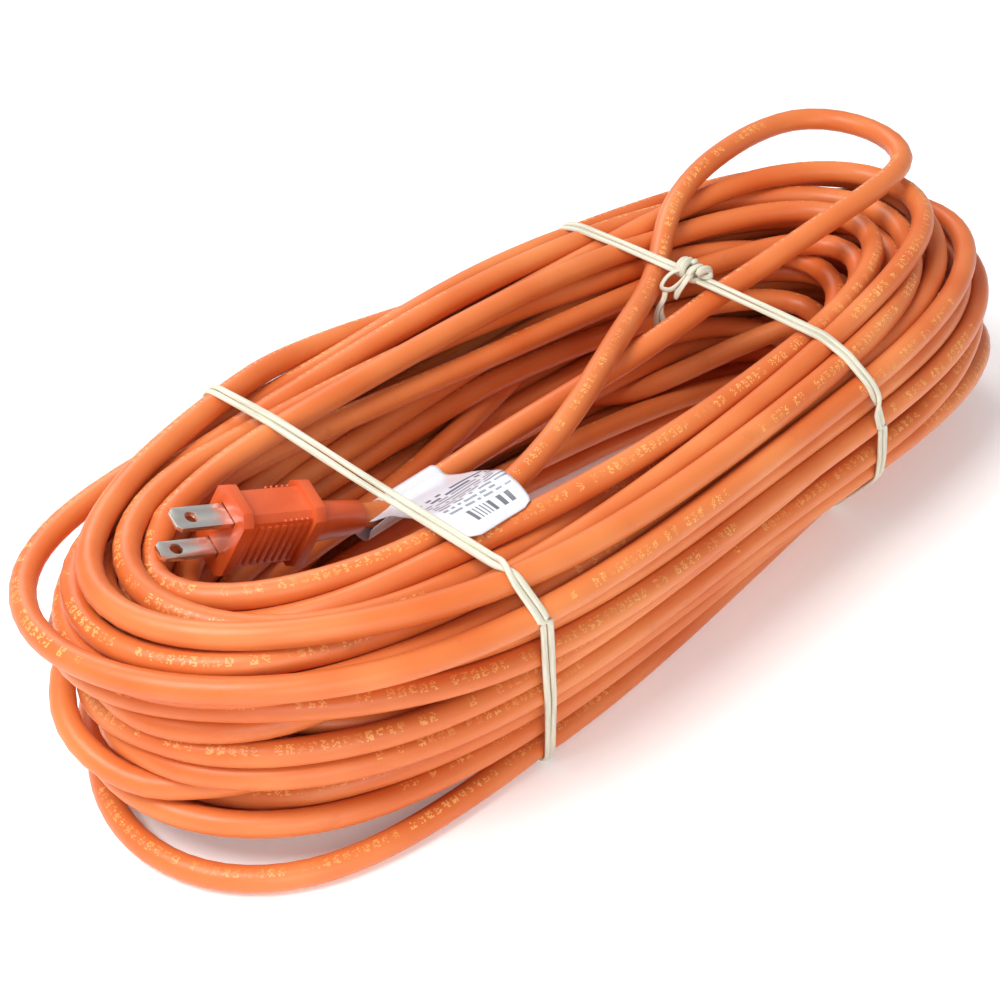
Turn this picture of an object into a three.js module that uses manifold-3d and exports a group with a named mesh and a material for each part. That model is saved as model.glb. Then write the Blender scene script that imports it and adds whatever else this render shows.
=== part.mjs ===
// Extension cord, 16 AWG two-conductor, wound into a flat hank and tied twice.
// Millimetres, +Z up. The hank lies on the surface with its long side along X;
// the origin is the middle of its footprint. The plug lies in the hollow at the -X end.
import * as THREE from "three";
import { mergeVertices } from "three/addons/utils/BufferGeometryUtils.js";
import Module from "manifold-3d";

const wasm = await Module();
wasm.setup();

// Driving dimensions ------------------------------------------------------------------

const gap = 0.3; // between any two pieces that touch on the real cord

const cord = { diameter: 7.7, coreDiameter: 2.9, conductorDiameter: 1.5, sides: 10, step: 15 };

const hank = { length: 366, width: 142, height: 80, wall: 35, endWall: 28, rounding: 12, taper: 0.1 };
hank.nearBluntness = 3; // superellipse exponents: the -X end is squarer than the +X end
hank.farBluntness = 2.4;

// Each tie is a flat band; it leans, so its foot is nearer the +X end than its top
const tieBand = { thickness: 0.9, strand: 0.9 };
const tieFront = { x: -86, width: 4.5, lean: 0.2 }; // x is at half the hank's height
const tieRear = { x: 71, width: 3.8, lean: 0.3 };

// Two-blade plug, standard blade sizes and spacing
const blade = { spacing: 12.7, lineWidth: 6.35, neutralWidth: 7.92, thickness: 1.52, length: 17.5 };
blade.holeRadius = 1.98;
blade.holeFromFace = 11.9;
blade.tipChamfer = 1.2;

// The hard bridge that holds the blades, the soft moulding round it, and its two flanges
const plug = { bridgeWall: 1.4, bridgeSideWall: 0.8, bridgeLength: 9.5, bridgeDepth: 2.6 };
plug.shell = 1.4;
plug.sideShell = 1.15;
plug.bridgeHeight = blade.spacing + blade.thickness + 2 * (gap + plug.bridgeWall);
plug.bridgeWidth = blade.neutralWidth + 2 * (gap + plug.bridgeSideWall);
plug.gripHeight = plug.bridgeHeight + 2 * (gap + plug.shell);
plug.gripWidth = plug.bridgeWidth + 2 * (gap + plug.sideShell);
plug.gripLength = 21;
plug.overhang = 2; // how far the face plate stands out past the grip
plug.flangeOverhang = 1.5;
plug.faceDepth = 3.2;
plug.flangeDepth = 3.5;
plug.chamfer = 3;
plug.ribs = 8;
plug.ribHeight = 0.7;

const outlet = { insertWall: 1.8, insertSideWall: 1.9, insertLength: 15.5, faceWall: 2.4 };
outlet.shell = 3;
outlet.length = 31;
outlet.slotClearance = 0.35; // each side of a blade
outlet.leaf = 0.5; // thickness of the contact's spring leaves
outlet.leafWidth = 5.6;
outlet.contactHeight = blade.thickness + 2 * outlet.leaf;
outlet.insertHeight = blade.spacing + outlet.contactHeight + 2 * (gap + outlet.insertWall);
outlet.insertWidth = blade.neutralWidth + 2 * (outlet.slotClearance + outlet.insertSideWall);
outlet.height = outlet.insertHeight + 2 * (gap + outlet.shell);
outlet.width = outlet.insertWidth + 2 * (gap + outlet.shell);
outlet.chamfer = 3.4;
outlet.ribs = 6;
outlet.ribHeight = 0.7;

// The tapered strain relief moulded behind each end
const relief = { length: 19.5, frontWall: 2.15, rearWall: 0.8 };
relief.bore = cord.diameter / 2 + gap;

const crimp = { length: 5, wall: 0.5, seam: 0.9 };
crimp.bore = cord.conductorDiameter / 2 + gap;
crimp.radius = crimp.bore + crimp.wall;

const label = { length: 31, thickness: 0.5, looseness: 0.9 };

// Places of the two ends: where each face's middle is, and how its axis is turned
const plugPlace = { position: [-133, 12, hank.height - 4], heading: 171, pitch: 19, roll: -16 };
const outletPlace = { position: [-46, -6, outlet.width / 2 + gap], heading: 180, pitch: 0, roll: 90 };

// Heights from the hank's top: of a cord just under a tie, and of one that lies on the hank
const tieGroove = tieBand.thickness + 2 * gap;
const underTie = -tieGroove - cord.diameter / 2;
const onTop = cord.diameter / 2 + 2.5 * gap;

// The straight stretch of the lead that the label is wrapped round
const labelled = [[-77, 3.6, -22.8], [-60.5, 3.2, -21.2], [-44, 2.8, -19.6]];

// The lead's route from the plug, over the +X end and back to the hank, chosen by hand
const leadRoute = [
  ...labelled,
  [-30, 2, -18], [-12, 0, -15.4], [8, -2, -13], [28, -3.5, -10.5], [48, -4, -8], [64, -4, underTie - 0.6],
  [84, -6, -2.5], [108, -8, 1.5], [130, -10, onTop - 0.5], [149, -8, onTop], [164, -1, onTop],
  [174, 10, onTop], [175, 25, onTop], [164, 38, onTop], [146, 44.5, onTop], [124, 45, onTop],
  [104, 42, onTop - 0.2], [87, 37, onTop - 1.4], [77, 31.5, -1], [67, 24.8, underTie],
  [57, 18.6, underTie - 0.8], [44, 11.5, -5.6], [22, 1.5, -4.4], [-2, -9.5, -3.8], [-24, -18.5, -3.8],
  [-44, -25.5, -4.5], [-58, -32, -7], [-70, -41, -13], [-80, -52, -20],
];

// The outlet's tail, along the bottom of the hollow into the hank's +X end
const tailRoute = [
  [20, -6, 9], [38, -8, 7.2], [60, -11, 6], [82, -14, 5.6], [104, -16, 5.4], [126, -15, 5.4],
  [hank.length / 2 - 38, -9, 6], [hank.length / 2 - 22, 4, 7],
];

// Materials ---------------------------------------------------------------------------

function finish(colour, roughness, metalness = 0) {
  return new THREE.MeshStandardMaterial({ color: colour, roughness, metalness });
}

const finishes = {
  jacket: finish("#e9834a", 0.42),
  plugMoulding: finish("#cf5426", 0.4),
  bridgePlastic: finish("#d8cfb8", 0.55),
  blade: finish("#c9c6c0", 0.25, 1),
  contact: finish("#b89150", 0.35, 1),
  coreWhite: finish("#ece8dc", 0.5),
  coreBlack: finish("#1d1d1d", 0.5),
  copper: finish("#b4643a", 0.35, 1),
  labelPaper: finish("#e9e9ec", 0.3),
  tieBand: finish("#ece8da", 0.6),
};

// Solids ------------------------------------------------------------------------------

function toSolid(geometry) {
  const plain = geometry.clone();
  for (const name of ["normal", "uv"]) plain.deleteAttribute(name);
  const merged = mergeVertices(plain, 1e-4);
  const mesh = new wasm.Mesh({
    numProp: 3,
    vertProperties: new Float32Array(merged.attributes.position.array),
    triVerts: new Uint32Array(merged.index.array),
  });
  return new wasm.Manifold(mesh);
}

function toGeometry(solid) {
  const mesh = solid.getMesh();
  const geometry = new THREE.BufferGeometry();
  geometry.setAttribute("position", new THREE.BufferAttribute(new Float32Array(mesh.vertProperties), 3));
  geometry.setIndex(new THREE.BufferAttribute(new Uint32Array(mesh.triVerts), 1));
  const faceted = geometry.toNonIndexed();
  faceted.computeVertexNormals();
  return faceted;
}

function join(solids) {
  return solids.reduce((whole, next) => whole.add(next));
}

function cut(solid, tools) {
  return tools.reduce((whole, tool) => whole.subtract(tool), solid);
}

function largestPiece(solid) {
  return solid.decompose().sort((a, b) => b.volume() - a.volume())[0];
}

// A box given by its lowest and highest corners
function block(low, high) {
  const size = high.map((value, i) => value - low[i]);
  const middle = high.map((value, i) => (value + low[i]) / 2);
  return toSolid(new THREE.BoxGeometry(...size).translate(...middle));
}

// An outline in Y and Z, extruded along X from x0 to x1
function alongX(shape, x0, x1) {
  const options = { depth: x1 - x0, bevelEnabled: false, curveSegments: 8 };
  const geometry = new THREE.ExtrudeGeometry(shape, options);
  const basis = new THREE.Matrix4().makeBasis(
    new THREE.Vector3(0, 1, 0), new THREE.Vector3(0, 0, 1), new THREE.Vector3(1, 0, 0),
  );
  return toSolid(geometry.applyMatrix4(basis).translate(x0, 0, 0));
}

function chamferedOutline(width, height, chamfer) {
  const [w, h, c] = [width / 2, height / 2, chamfer];
  const right = [[w - c, -h], [w, -h + c], [w, h - c], [w - c, h]];
  const corners = [...right, ...right.map(([y, z]) => [-y, -z])];
  return new THREE.Shape(corners.map(([y, z]) => new THREE.Vector2(y, z)));
}

function roundedOutline(halfWidth, low, high, radius) {
  const shape = new THREE.Shape();
  shape.absarc(halfWidth - radius, low + radius, radius, -Math.PI / 2, 0);
  shape.absarc(halfWidth - radius, high - radius, radius, 0, Math.PI / 2);
  shape.absarc(radius - halfWidth, high - radius, radius, Math.PI / 2, Math.PI);
  shape.absarc(radius - halfWidth, low + radius, radius, Math.PI, 1.5 * Math.PI);
  return shape;
}

// A solid turned about X, from [x, radius] pairs that start and end on the axis
function turnedAboutX(profile, sides) {
  const points = profile.map(([x, radius]) => new THREE.Vector2(radius, x));
  return toSolid(new THREE.LatheGeometry(points, sides).rotateZ(-Math.PI / 2));
}

function rod(x0, x1, radius, sides = 12) {
  return turnedAboutX([[x0, 0], [x0, radius], [x1, radius], [x1, 0]], sides);
}

// A round tube through hand-chosen points
function tube(points, radius, sides, step) {
  const stops = points.map((point) => new THREE.Vector3(...point));
  const path = new THREE.CatmullRomCurve3(stops, false, "centripetal");
  const steps = Math.max(2, Math.round(path.getLength() / step));
  const section = new THREE.Shape();
  for (let i = 0; i < sides; i++) {
    const angle = (2 * Math.PI * i) / sides;
    const [x, y] = [radius * Math.cos(angle), radius * Math.sin(angle)];
    if (i === 0) section.moveTo(x, y);
    else section.lineTo(x, y);
  }
  return toSolid(new THREE.ExtrudeGeometry(section, { steps, extrudePath: path, curveSegments: 1 }));
}

// A point whose height is measured from the hank's top, in the part's own frame
function fromTop([x, y, z]) {
  return [x, y, hank.height + z];
}

function turn({ heading, pitch, roll }) {
  const rad = THREE.MathUtils.degToRad;
  return new THREE.Euler(rad(roll), -rad(pitch), rad(heading), "ZYX");
}

// The world place of a point given in a turned end's own axes
function placed(place, local) {
  const point = new THREE.Vector3(...local).applyEuler(turn(place));
  return point.add(new THREE.Vector3(...place.position)).toArray();
}

const extensionCord = new THREE.Group();

function addPiece(group, name, solid, material) {
  const mesh = new THREE.Mesh(toGeometry(solid), material);
  mesh.name = name;
  group.add(mesh);
}

function addTurnedGroup(place) {
  const group = new THREE.Group();
  group.position.set(...place.position);
  group.rotation.copy(turn(place));
  extensionCord.add(group);
  return group;
}

// Wiring shared by both ends ----------------------------------------------------------

// A crimped barrel: a rolled ring with an open seam, from x0 to x1, centred at height z
function crimpBarrel(x0, x1, z) {
  const seam = crimp.seam / 2 / crimp.radius;
  const ring = new THREE.Shape();
  ring.absarc(0, z, crimp.radius, Math.PI / 2 + seam, Math.PI / 2 - seam + 2 * Math.PI);
  ring.absarc(0, z, crimp.bore, Math.PI / 2 - seam + 2 * Math.PI, Math.PI / 2 + seam, true);
  return alongX(ring, x0, x1);
}

// An insulated core that spreads from the jacket's end to its barrel
function spreadingCore(jacketEnd, barrelEnd, side) {
  const from = cord.coreDiameter / 2 + gap / 2;
  const to = blade.spacing / 2;
  const run = barrelEnd - jacketEnd;
  const points = [[0, from], [0.12, from], [0.5, (from + to) / 2], [0.88, to], [1, to]];
  const route = points.map(([t, z]) => [jacketEnd + run * t, 0, side * z]);
  return tube(route, cord.coreDiameter / 2, 10, 1.2);
}

function wiring(group, prefix, jacketEnd, barrelEnd, barrelFront) {
  const coreEnd = barrelEnd - 1;
  const pair = [["white", 1, finishes.coreWhite], ["black", -1, finishes.coreBlack]];
  for (const [colour, side, material] of pair) {
    addPiece(group, `${prefix}_core_${colour}`, spreadingCore(jacketEnd + gap, coreEnd, side), material);
    const strands = rod(coreEnd + gap, barrelFront - gap, cord.conductorDiameter / 2);
    const place = [0, 0, (side * blade.spacing) / 2];
    addPiece(group, `${prefix}_strands_${colour}`, strands.translate(place), finishes.copper);
  }
}

function reliefSolid(rearEnd, frontEnd) {
  const [rear, front] = [relief.bore + relief.rearWall, relief.bore + relief.frontWall];
  return turnedAboutX([[rearEnd, 0], [rearEnd, rear], [frontEnd, front], [frontEnd, 0]], 20);
}

function sideRibs(count, x0, x1, halfWidth, halfHeight, height) {
  const pitch = (x1 - x0) / count;
  const ribs = [];
  for (let i = 0; i < count; i++) {
    const start = x0 + pitch * (i + 0.25);
    const low = [start, halfWidth - 0.5, -halfHeight];
    const rib = block(low, [start + pitch / 2, halfWidth + height, halfHeight]);
    ribs.push(rib, rib.mirror([0, 1, 0]));
  }
  return ribs;
}

// The plug ----------------------------------------------------------------------------
// Its own axes: +X out of the face along the blades, Z from blade to blade, Y across them.

const plugBack = -(plug.faceDepth + plug.gripLength);
const plugFlangeBack = plugBack - plug.flangeDepth;
const plugReliefEnd = plugFlangeBack - relief.length;
const plugJacketEnd = plugFlangeBack - 1;
const bridgeBack = -(plug.bridgeDepth + plug.bridgeLength);
const bladeBack = bridgeBack - 2;
const plugBarrelEnd = bladeBack - crimp.length;

function bladeSolid(width, z) {
  const [half, chamfer, tab, shoulder] = [width / 2, blade.tipChamfer, crimp.radius, bridgeBack + 1];
  const outline = [
    [bladeBack - 0.4, -tab], [shoulder, -tab], [shoulder, -half], [blade.length - chamfer, -half],
    [blade.length, chamfer - half], [blade.length, half - chamfer], [blade.length - chamfer, half],
    [shoulder, half], [shoulder, tab], [bladeBack - 0.4, tab],
  ];
  const shape = new THREE.Shape(outline.map(([x, y]) => new THREE.Vector2(x, y)));
  shape.holes.push(new THREE.Path().absarc(blade.holeFromFace, 0, blade.holeRadius, 0, 2 * Math.PI, true));
  const options = { depth: blade.thickness, bevelEnabled: false, curveSegments: 10 };
  const plate = new THREE.ExtrudeGeometry(shape, options);
  const solid = toSolid(plate.translate(0, 0, z - blade.thickness / 2));
  return solid.add(crimpBarrel(plugBarrelEnd, bladeBack, z));
}

function bladeSlots(x0, x1, clearance) {
  const half = blade.thickness / 2 + clearance;
  return [[blade.neutralWidth, 1], [blade.lineWidth, -1]].map(([width, side]) => {
    const [y, z] = [width / 2 + clearance, (side * blade.spacing) / 2];
    return block([x0, -y, z - half], [x1, y, z + half]);
  });
}

function plugBody() {
  const [faceOver, flangeOver] = [2 * plug.overhang, 2 * plug.flangeOverhang];
  const wide = chamferedOutline(plug.gripWidth + faceOver, plug.gripHeight + faceOver, plug.chamfer);
  const flange = chamferedOutline(plug.gripWidth + faceOver, plug.gripHeight + flangeOver, plug.chamfer);
  const grip = chamferedOutline(plug.gripWidth, plug.gripHeight, plug.chamfer * 0.6);
  const solid = join([
    alongX(wide, -plug.faceDepth, 0),
    alongX(grip, plugBack - 0.2, -plug.faceDepth + 0.2),
    alongX(flange, plugFlangeBack, plugBack),
    reliefSolid(plugReliefEnd, plugFlangeBack + 0.2),
    ...sideRibs(plug.ribs, plugBack + 0.6, -plug.faceDepth - 0.6, plug.gripWidth / 2,
      plug.gripHeight / 2 - 3, plug.ribHeight),
  ]);
  const [y, z] = [plug.bridgeWidth / 2 + gap, plug.bridgeHeight / 2 + gap];
  const chamberY = Math.max(cord.coreDiameter / 2, crimp.radius) + gap + 0.5;
  return cut(solid, [
    block([bridgeBack - gap, -y, -z], [gap - plug.bridgeDepth, y, z]),
    block([plugJacketEnd - gap, -chamberY, -z], [bridgeBack, chamberY, z]),
    rod(plugReliefEnd - 1, plugJacketEnd, relief.bore, 20),
    ...bladeSlots(-plug.bridgeDepth - 1, 1, gap),
  ]);
}

function plugBridge() {
  const [y, z] = [plug.bridgeWidth / 2, plug.bridgeHeight / 2];
  const solid = block([bridgeBack, -y, -z], [-plug.bridgeDepth, y, z]);
  return cut(solid, bladeSlots(bridgeBack - 1, 1, gap));
}

const plugGroup = addTurnedGroup(plugPlace);
addPiece(plugGroup, "plug_body", plugBody(), finishes.plugMoulding);
addPiece(plugGroup, "plug_bridge", plugBridge(), finishes.bridgePlastic);
addPiece(plugGroup, "blade_neutral", bladeSolid(blade.neutralWidth, blade.spacing / 2), finishes.blade);
addPiece(plugGroup, "blade_line", bladeSolid(blade.lineWidth, -blade.spacing / 2), finishes.blade);
wiring(plugGroup, "plug", plugJacketEnd, plugBarrelEnd, bladeBack - 0.4);

// The outlet (female connector) ---------------------------------------------------------
// Its own axes: +X out of the face, Z from slot to slot, Y across them.

const insertBack = -(outlet.faceWall + outlet.insertLength);
const contactBack = insertBack - 1.2;
const outletBarrelEnd = contactBack - crimp.length;
const outletReliefEnd = -(outlet.length + relief.length);
const outletJacketEnd = -outlet.length - 1;

function outletBody() {
  const solid = join([
    alongX(chamferedOutline(outlet.width, outlet.height, outlet.chamfer), -outlet.length, 0),
    reliefSolid(outletReliefEnd, -outlet.length + 0.2),
    ...sideRibs(outlet.ribs, -outlet.length + 6, -6, outlet.width / 2 - outlet.ribHeight - 0.2,
      outlet.height / 2 - 5, outlet.ribHeight),
  ]);
  const [y, z] = [outlet.insertWidth / 2 + gap, outlet.insertHeight / 2 + gap];
  const chamberY = Math.max(cord.coreDiameter, outlet.leafWidth) / 2 + gap;
  const chamberZ = blade.spacing / 2 + Math.max(cord.coreDiameter / 2, crimp.radius) + gap + 0.3;
  return cut(solid, [
    block([insertBack - gap, -y, -z], [gap - outlet.faceWall, y, z]),
    block([outletJacketEnd - gap, -chamberY, -chamberZ], [insertBack, chamberY, chamberZ]),
    rod(outletReliefEnd - 1, outletJacketEnd, relief.bore, 20),
    ...bladeSlots(-outlet.faceWall - 1, 1, outlet.slotClearance),
  ]);
}

function outletInsert() {
  const [y, z] = [outlet.insertWidth / 2, outlet.insertHeight / 2];
  const solid = block([insertBack, -y, -z], [-outlet.faceWall, y, z]);
  const [slotY, slotZ] = [blade.neutralWidth / 2 + outlet.slotClearance, outlet.contactHeight / 2 + gap];
  const slots = [1, -1].map((side) => {
    const middle = (side * blade.spacing) / 2;
    return block([insertBack - 1, -slotY, middle - slotZ], [0, slotY, middle + slotZ]);
  });
  return cut(solid, slots);
}

// A folded spring contact: two leaves joined at the back, with its crimp barrel behind
function contactSolid(z) {
  const [front, half, side] = [-outlet.faceWall - gap, outlet.contactHeight / 2, outlet.leafWidth / 2];
  const outer = block([contactBack - 0.4, -side, z - half], [front, side, z + half]);
  const mouth = half - outlet.leaf;
  const inner = block([contactBack + 0.6, -2 * side, z - mouth], [front + 1, 2 * side, z + mouth]);
  return outer.subtract(inner).add(crimpBarrel(outletBarrelEnd, contactBack, z));
}

const outletGroup = addTurnedGroup(outletPlace);
addPiece(outletGroup, "connector_body", outletBody(), finishes.plugMoulding);
addPiece(outletGroup, "connector_insert", outletInsert(), finishes.bridgePlastic);
addPiece(outletGroup, "contact_neutral", contactSolid(blade.spacing / 2), finishes.contact);
addPiece(outletGroup, "contact_line", contactSolid(-blade.spacing / 2), finishes.contact);
wiring(outletGroup, "connector", outletJacketEnd, outletBarrelEnd, contactBack - 0.4);

// The hank ----------------------------------------------------------------------------

function hankOutline(endInset, sideInset) {
  const [a, b] = [hank.length / 2 - endInset, hank.width / 2 - sideInset];
  const points = [];
  const count = 56;
  for (let i = 0; i < count; i++) {
    const angle = (2 * Math.PI * i) / count;
    const [c, s] = [Math.cos(angle), Math.sin(angle)];
    const power = 2 / (c < 0 ? hank.nearBluntness : hank.farBluntness);
    const x = a * Math.sign(c) * Math.abs(c) ** power;
    const y = b * Math.sign(s) * Math.abs(s) ** power * (1 - (hank.taper * x) / a);
    points.push(new THREE.Vector2(x, y));
  }
  return points;
}

// Half the hank's width at a station along X
function hankHalfWidth(x) {
  const share = x / (hank.length / 2);
  const power = x < 0 ? hank.nearBluntness : hank.farBluntness;
  return (hank.width / 2) * (1 - Math.abs(share) ** power) ** (1 / power) * (1 - hank.taper * share);
}

// The ring of turns as one solid, or the same grown all round
function hankRing(grown = 0) {
  const shape = new THREE.Shape(hankOutline(-grown, -grown));
  shape.holes.push(new THREE.Path(hankOutline(hank.endWall + grown, hank.wall + grown)));
  const edge = hank.rounding;
  const bevel = { bevelThickness: edge, bevelSize: edge, bevelOffset: -edge, bevelSegments: 3 };
  const depth = hank.height + 2 * (grown - edge);
  return toSolid(new THREE.ExtrudeGeometry(shape, { depth, ...bevel }).translate(0, 0, edge - grown));
}

// The closed outline of a band drawn round the hank at a station, sunk by some depth
function bandOutline(x, depth) {
  return roundedOutline(hankHalfWidth(x) - depth, depth, hank.height - depth, hank.rounding - depth);
}

// A band's outline extruded by its width and then leant over
function leaningBand(shape, { x, width, lean }) {
  const middle = hank.height / 2;
  const shear = [1, 0, 0, 0, 0, 1, 0, 0, -lean, 0, 1, 0, lean * middle, 0, 0, 1];
  return alongX(shape, x - width / 2, x + width / 2).transform(shear);
}

function grooveSolid(band) {
  const reach = hank.width;
  const around = roundedOutline(reach, -reach, hank.height + reach, 1);
  around.holes.push(bandOutline(band.x, tieGroove));
  return leaningBand(around, { ...band, width: band.width + 2 * gap });
}

function tieSolid(band) {
  const ring = bandOutline(band.x, tieGroove - gap - tieBand.thickness);
  ring.holes.push(bandOutline(band.x, tieGroove - gap));
  return leaningBand(ring, band);
}

// The band's place along X at a height
function tieX({ x, lean }, z) {
  return x - lean * (z - hank.height / 2);
}

const grooves = [grooveSolid(tieFront), grooveSolid(tieRear)];
addPiece(extensionCord, "hank", cut(hankRing(), grooves), finishes.jacket);

// The two stretches of cord outside the hank, cut back to it face to face
function cordStretch(place, reliefEnd, jacketEnd, route) {
  const inside = placed(place, [jacketEnd, 0, 0]);
  const mouth = placed(place, [(jacketEnd + reliefEnd) / 2, 0, 0]);
  const outside = placed(place, [reliefEnd, 0, 0]);
  const straight = placed(place, [reliefEnd - cord.diameter, 0, 0]);
  const whole = tube([inside, mouth, outside, straight, ...route], cord.diameter / 2, cord.sides, cord.step);
  return largestPiece(whole.subtract(hankRing(gap)));
}

const lead = cordStretch(plugPlace, plugReliefEnd, plugJacketEnd, leadRoute.map(fromTop));
addPiece(extensionCord, "plug_lead", lead, finishes.jacket);
const tail = cordStretch(outletPlace, outletReliefEnd, outletJacketEnd, tailRoute);
addPiece(extensionCord, "connector_tail", tail, finishes.jacket);

// The ties ----------------------------------------------------------------------------

addPiece(extensionCord, "tie_front", tieSolid(tieFront), finishes.tieBand);
addPiece(extensionCord, "tie_rear", tieSolid(tieRear), finishes.tieBand);

// A knot: a pulled-tight lump with loops and loose tails, given from the lump's middle
function knotSolid(place, size, strands) {
  const lump = toSolid(new THREE.SphereGeometry(1, 12, 8).scale(...size));
  return join([lump, ...strands.map((points) => tube(points, tieBand.strand, 8, 2.2))]).translate(place);
}

const rearKnot = knotSolid([tieX(tieRear, hank.height), 6, hank.height + 2.6], [3.6, 4.6, 2.3], [
  [[-2, 1, 0.4], [-5, 4, 1.4], [-7, 7, -0.1], [-6, 7.5, -2], [-4, 5, -2], [-2, 2, -0.6]],
  [[-2, -2, 0.4], [-6, -3.5, 0.4], [-9, -2.5, -2.6], [-10, 0, -7.6], [-11, 3, -12.6], [-12, 4.5, -16.6]],
  [[0, -3, 0.4], [2, -6.5, 1.8], [0, -9, 1], [-2, -7.5, -0.2], [-1, -4, -0.2]],
]);
addPiece(extensionCord, "tie_rear_knot", rearKnot, finishes.tieBand);

const frontKnot = knotSolid([tieX(tieFront, 0), 2, tieGroove + 2.6], [3.4, 4.4, 2.2], [
  [[1, 2, 0.1], [4, 6, 0.9], [7, 9, -0.7], [11, 11, -1.7]],
  [[-1, -2, 0.1], [-4, -6, 0.9], [-8, -8, -0.7], [-12, -11, -1.7]],
]);
addPiece(extensionCord, "tie_front_knot", frontKnot, finishes.tieBand);

// The flag label ----------------------------------------------------------------------

// Its outline across the lead: a closed wrap round the jacket, and a flag that rises over
// the hank's inner edge and lies on top
const flagRise = [[-9, 9.6], [-16, 17.5], [-23, 23.6], [-31, 26.4], [-40, 27.2]];

function flagLabel() {
  const inner = cord.diameter / 2 + label.looseness;
  const outer = inner + label.thickness;
  const wrap = new THREE.Shape().absarc(0, 0, outer, 0, 2 * Math.PI);
  wrap.holes.push(new THREE.Path().absarc(0, 0, inner, 0, 2 * Math.PI, true));
  const upper = [[0, outer], [-4, outer], ...flagRise];
  const lower = upper.map(([y, z]) => [y, z - label.thickness]).reverse();
  const flag = new THREE.Shape([...upper, ...lower].map(([y, z]) => new THREE.Vector2(y, z)));
  const half = label.length / 2;
  return join([alongX(wrap, -half, half), alongX(flag, -half, half)]);
}

const [labelFrom, labelMiddle, labelTo] = labelled.map((point) => new THREE.Vector3(...fromTop(point)));
const along = labelTo.clone().sub(labelFrom).normalize();
const labelGroup = addTurnedGroup({
  position: labelMiddle.toArray(),
  heading: THREE.MathUtils.radToDeg(Math.atan2(along.y, along.x)),
  pitch: THREE.MathUtils.radToDeg(Math.asin(along.z)),
  roll: 0,
});
addPiece(labelGroup, "flag_label", flagLabel(), finishes.labelPaper);

export default extensionCord;
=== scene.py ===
import math

import bmesh
import bpy
import numpy as np
from mathutils import Matrix, Vector


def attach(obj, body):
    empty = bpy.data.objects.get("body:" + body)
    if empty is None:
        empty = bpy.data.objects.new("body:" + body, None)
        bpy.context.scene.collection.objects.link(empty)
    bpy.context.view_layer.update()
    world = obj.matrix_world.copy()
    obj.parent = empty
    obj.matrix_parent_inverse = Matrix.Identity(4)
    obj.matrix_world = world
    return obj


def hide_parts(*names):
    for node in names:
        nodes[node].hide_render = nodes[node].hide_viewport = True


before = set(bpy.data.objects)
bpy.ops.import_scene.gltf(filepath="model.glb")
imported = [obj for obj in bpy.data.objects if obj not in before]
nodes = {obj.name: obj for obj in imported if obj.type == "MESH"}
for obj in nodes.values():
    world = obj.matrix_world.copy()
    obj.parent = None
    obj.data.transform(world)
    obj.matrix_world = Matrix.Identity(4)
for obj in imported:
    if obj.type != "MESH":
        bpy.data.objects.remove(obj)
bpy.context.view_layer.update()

scene = bpy.context.scene
mm = 0.001


# small helpers used by every piece

def hexColour(text):
    # sRGB hex to the linear colour that the shader wants
    values = [int(text[i:i + 2], 16) / 255 for i in (1, 3, 5)]
    linear = [v / 12.92 if v <= 0.04045 else ((v + 0.055) / 1.055) ** 2.4 for v in values]
    return (*linear, 1.0)


def addNode(tree, kind, settings=None, links=None):
    # one node; settings go by attribute or socket, and a link given as a node means its live output
    node = tree.nodes.new(kind)
    for name, value in (settings or {}).items():
        if name == "stops":
            elements = node.color_ramp.elements
            for element, (at, colour) in zip(elements, value):
                element.position, element.color = at, colour
        elif isinstance(name, str) and hasattr(node, name) and name not in node.inputs:
            setattr(node, name, value)
        else:
            node.inputs[name].default_value = value
    for name, source in (links or {}).items():
        if isinstance(source, bpy.types.Node):
            source = next(output for output in source.outputs if output.enabled)
        tree.links.new(source, node.inputs[name])
    return node


def newMaterial(name):
    material = bpy.data.materials.new(name)
    material.use_nodes = True
    material.node_tree.nodes.clear()
    return material, material.node_tree


def addSteps(tree, made, steps):
    # a run of nodes with their inputs by position; each step is the result's name, the kind of node
    # with its operation, and what goes in: a number, or the name of an earlier result
    for name, what, *given in steps:
        kind, _, operation = what.partition(" ")
        settings, links = ({"operation": operation} if operation else {}), {}
        for index, value in enumerate(given):
            if isinstance(value, str):
                links[index] = made[value]
            else:
                settings[index] = value
        made[name] = addNode(tree, "ShaderNode" + kind, settings, links)
    return made


def finishMaterial(material, surface, links=None):
    # the surface and the output, once the nodes that feed them are there
    shader = addNode(material.node_tree, "ShaderNodeBsdfPrincipled", surface, links)
    addNode(material.node_tree, "ShaderNodeOutputMaterial", {}, {"Surface": shader})
    return material


def meshObject(name, verts, faces, material):
    mesh = bpy.data.meshes.new(name)
    mesh.from_pydata([tuple(v) for v in verts], [], [tuple(f) for f in faces])
    mesh.validate()
    mesh.polygons.foreach_set("use_smooth", [True] * len(mesh.polygons))
    mesh.materials.append(material)
    piece = bpy.data.objects.new(name, mesh)
    scene.collection.objects.link(piece)
    return piece


def applied(piece):
    # the modifiers' result becomes the mesh itself
    bpy.context.view_layer.update()
    shaped = bpy.data.meshes.new_from_object(piece.evaluated_get(bpy.context.evaluated_depsgraph_get()))
    piece.modifiers.clear()
    piece.data = shaped
    return shaped


def unit(vectors):
    return vectors / np.linalg.norm(vectors, axis=1)[:, None]


def distances(points):
    # how far along a line each of its points is
    return np.concatenate([[0], np.cumsum(np.linalg.norm(np.diff(points, axis=0), axis=1))])


# camera, floor and light

view = dict(azimuth=-45.15, elevation=37.39, distance=641.56, right=-16.47, up=-23.27, lens=72.0,
            aim=(-5.0, 6.0, 50.0))


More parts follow.
